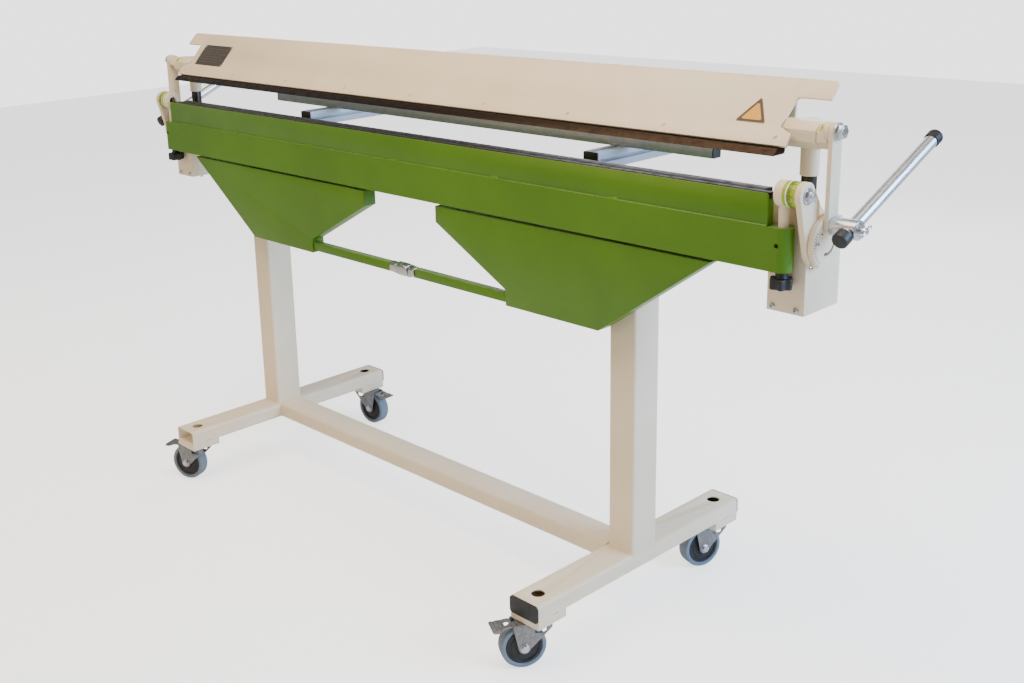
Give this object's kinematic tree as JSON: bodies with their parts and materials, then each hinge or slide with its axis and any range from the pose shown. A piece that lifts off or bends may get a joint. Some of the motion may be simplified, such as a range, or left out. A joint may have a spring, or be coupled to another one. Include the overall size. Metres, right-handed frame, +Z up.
{
  "type": "mobile sheet metal brake",
  "caption": "Manual sheet metal folding machine on a castored stand, with a hinged folding beam, a crank-closed clamping beam, side levers and a sliding back gauge.",
  "frame": {"origin": "on the floor, under the middle of the machine's outline seen from above", "axes": "+X along the bending line to the operator's right, +Y from the operator to the back, +Z up"},
  "size_m": [2.3854, 0.8103, 1.2178],
  "materials": {
    "cream_paint": "satin cream powder coat",
    "green_paint": "satin yellow-green powder coat",
    "blade_steel": "ground tool steel with a dark oiled face",
    "zinc_steel": "bright zinc plate",
    "castor_steel": "pressed sheet, dull zinc plate",
    "castor_wheel": "blue-grey rubber tread on a dark hub",
    "black_plastic": "moulded black",
    "black_steel": "black oxide",
    "aluminium": "natural anodised extrusion"
  },
  "bodies": {
    "frame": {"stand_side_right": "cream_paint", "stand_side_left": "cream_paint", "cross_beam": "cream_paint", "foot_cap_right_front": "black_plastic", "foot_cap_right_back": "black_plastic", "foot_cap_left_back": "black_plastic", "lower_beam": "green_paint", "lower_blade": "blade_steel", "support_plate_right": "green_paint", "support_plate_left": "green_paint", "tension_rod_right": "green_paint", "tension_rod_left": "green_paint", "end_housing_right": "cream_paint", "end_housing_left": "cream_paint", "arm_plate_right": "cream_paint", "arm_plate_left": "cream_paint", "guide_post_right": "black_steel", "guide_post_left": "black_steel", "gauge_rail_right": "aluminium", "gauge_rail_left": "aluminium"},
    "folding_frame": {"pivot_drum_right": "cream_paint", "pivot_drum_left": "cream_paint", "hanger_rod_right": "cream_paint", "hanger_rod_left": "cream_paint"},
    "folding_beam": {"folding_beam": "green_paint", "folding_blade": "blade_steel"},
    "clamp": {"clamp_beam": "cream_paint", "clamp_blade": "blade_steel", "lift_arm_right": "cream_paint", "lift_arm_left": "cream_paint"},
    "crank": {"crank_disc_right": "cream_paint", "crank_disc_left": "cream_paint", "cross_shaft": "zinc_steel", "lever_hub_right": "zinc_steel", "lever_hub_left": "zinc_steel"},
    "turnbuckle": {"turnbuckle": "zinc_steel"},
    "gauge_bar": {"gauge_bar": "aluminium"},
    "knob_right": {"star_knob_right": "black_plastic"},
    "adjuster_right": {"height_adjuster_right": "cream_paint"},
    "strap_right": {"strap_right": "cream_paint"},
    "handle_right": {"lever_tube_right": "zinc_steel", "lever_grip_right": "black_plastic"},
    "knob_left": {"star_knob_left": "black_plastic"},
    "adjuster_left": {"height_adjuster_left": "cream_paint"},
    "strap_left": {"strap_left": "cream_paint"},
    "handle_left": {"lever_tube_left": "zinc_steel", "lever_grip_left": "black_plastic"},
    "fork_right_front": {"castor_fork_right_front": "castor_steel"},
    "wheel_right_front": {"castor_wheel_right_front": "castor_wheel"},
    "pedal_right_front": {"brake_pedal_right_front": "castor_steel"},
    "fork_right_back": {"castor_fork_right_back": "castor_steel"},
    "wheel_right_back": {"castor_wheel_right_back": "castor_wheel"},
    "pedal_right_back": {"brake_pedal_right_back": "castor_steel"},
    "fork_left_front": {"castor_fork_left_front": "castor_steel"},
    "wheel_left_front": {"castor_wheel_left_front": "castor_wheel"},
    "pedal_left_front": {"brake_pedal_left_front": "castor_steel"},
    "fork_left_back": {"castor_fork_left_back": "castor_steel"},
    "wheel_left_back": {"castor_wheel_left_back": "castor_wheel"},
    "pedal_left_back": {"brake_pedal_left_back": "castor_steel"}
  },
  "joints": [
    {"name": "folding", "type": "hinge", "parent": "frame", "child": "folding_frame", "pos_m": [0, -0.062, 1.029], "axis": [-1, 0, 0], "range_deg": [0, 135]},
    {"name": "folding_beam_setting", "type": "slide", "parent": "folding_frame", "child": "folding_beam", "axis": [0, 0, -1], "range_m": [0, 0.004]},
    {"name": "clamping", "type": "slide", "parent": "frame", "child": "clamp", "axis": [0, 0, -1], "range_m": [0, 0.0624], "stiffness_N_per_m": 1500, "springref_m": -0.29},
    {"name": "crank_turn", "type": "hinge", "parent": "frame", "child": "crank", "pos_m": [0, -0.01, 0.937], "axis": [1, 0, 0], "range_deg": [0, 180]},
    {"name": "turnbuckle_turn", "type": "hinge", "parent": "frame", "child": "turnbuckle", "pos_m": [0, -0.066, 0.695], "axis": [1, 0, 0], "range_deg": [-180, 180]},
    {"name": "gauge_travel", "type": "slide", "parent": "frame", "child": "gauge_bar", "axis": [0, 1, 0], "range_m": [-0.084, 0.25]},
    {"name": "setting_screw_right", "type": "hinge", "parent": "folding_beam", "child": "knob_right", "pos_m": [1.056, -0.062, 0.86], "axis": [0, 0, 1], "range_deg": [0, 720]},
    {"name": "strap_swing_right", "type": "hinge", "parent": "crank", "child": "strap_right", "pos_m": [1.1198, -0.01, 0.9682], "axis": [1, 0, 0], "range_deg": [-180, 0]},
    {"name": "adjuster_turn_right", "type": "hinge", "parent": "clamp", "child": "adjuster_right", "pos_m": [1.099, 0.01, 1.1265], "axis": [1, 0, 0], "range_deg": [-15, 15]},
    {"name": "handle_slide_right", "type": "slide", "parent": "crank", "child": "handle_right", "axis": [0, 0.9171, 0.3987], "range_m": [-0.27, 0]},
    {"name": "setting_screw_left", "type": "hinge", "parent": "folding_beam", "child": "knob_left", "pos_m": [-1.056, -0.062, 0.86], "axis": [0, 0, 1], "range_deg": [0, 720]},
    {"name": "strap_swing_left", "type": "hinge", "parent": "crank", "child": "strap_left", "pos_m": [-1.1198, -0.01, 0.9682], "axis": [1, 0, 0], "range_deg": [-180, 0]},
    {"name": "adjuster_turn_left", "type": "hinge", "parent": "clamp", "child": "adjuster_left", "pos_m": [-1.099, 0.01, 1.1265], "axis": [1, 0, 0], "range_deg": [-15, 15]},
    {"name": "handle_slide_left", "type": "slide", "parent": "crank", "child": "handle_left", "axis": [0, 0.9171, 0.3987], "range_m": [-0.27, 0]},
    {"name": "swivel_right_front", "type": "hinge", "parent": "frame", "child": "fork_right_front", "pos_m": [0.662, -0.303, 0.11], "axis": [0, 0, 1], "continuous": true},
    {"name": "roll_right_front", "type": "hinge", "parent": "fork_right_front", "child": "wheel_right_front", "pos_m": [0.644, -0.33418, 0.05], "axis": [0.866, -0.5, 0], "continuous": true},
    {"name": "brake_right_front", "type": "hinge", "parent": "fork_right_front", "child": "pedal_right_front", "pos_m": [0.632, -0.35496, 0.1], "axis": [-0.866, 0.5, 0], "range_deg": [0, 10]},
    {"name": "swivel_right_back", "type": "hinge", "parent": "frame", "child": "fork_right_back", "pos_m": [0.662, 0.311, 0.11], "axis": [0, 0, 1], "continuous": true},
    {"name": "roll_right_back", "type": "hinge", "parent": "fork_right_back", "child": "wheel_right_back", "pos_m": [0.65087, 0.27676, 0.05], "axis": [0.9511, -0.309, 0], "continuous": true},
    {"name": "brake_right_back", "type": "hinge", "parent": "fork_right_back", "child": "pedal_right_back", "pos_m": [0.64346, 0.25394, 0.1], "axis": [-0.9511, 0.309, 0], "range_deg": [0, 10]},
    {"name": "swivel_left_front", "type": "hinge", "parent": "frame", "child": "fork_left_front", "pos_m": [-0.662, -0.303, 0.11], "axis": [0, 0, 1], "continuous": true},
    {"name": "roll_left_front", "type": "hinge", "parent": "fork_left_front", "child": "wheel_left_front", "pos_m": [-0.69538, -0.31649, 0.05], "axis": [0.3746, -0.9272, 0], "continuous": true},
    {"name": "brake_left_front", "type": "hinge", "parent": "fork_left_front", "child": "pedal_left_front", "pos_m": [-0.71763, -0.32548, 0.1], "axis": [-0.3746, 0.9272, 0], "range_deg": [0, 10]},
    {"name": "swivel_left_back", "type": "hinge", "parent": "frame", "child": "fork_left_back", "pos_m": [-0.662, 0.311, 0.11], "axis": [0, 0, 1], "continuous": true},
    {"name": "roll_left_back", "type": "hinge", "parent": "fork_left_back", "child": "wheel_left_back", "pos_m": [-0.62614, 0.31414, 0.05], "axis": [-0.0872, 0.9962, 0], "continuous": true},
    {"name": "brake_left_back", "type": "hinge", "parent": "fork_left_back", "child": "pedal_left_back", "pos_m": [-0.60223, 0.31623, 0.1], "axis": [0.0872, -0.9962, 0], "range_deg": [0, 10]}
  ],
  "couplings": [
    {"joint": "crank_turn", "follows": "clamping", "rad_per_m": 50.346},
    {"joint": "strap_swing_right", "follows": "clamping", "rad_per_m": -50.346},
    {"joint": "setting_screw_right", "follows": "folding_beam_setting", "rad_per_m": 3141.6},
    {"joint": "strap_swing_left", "follows": "clamping", "rad_per_m": -50.346},
    {"joint": "setting_screw_left", "follows": "folding_beam_setting", "rad_per_m": 3141.6}
  ]
}
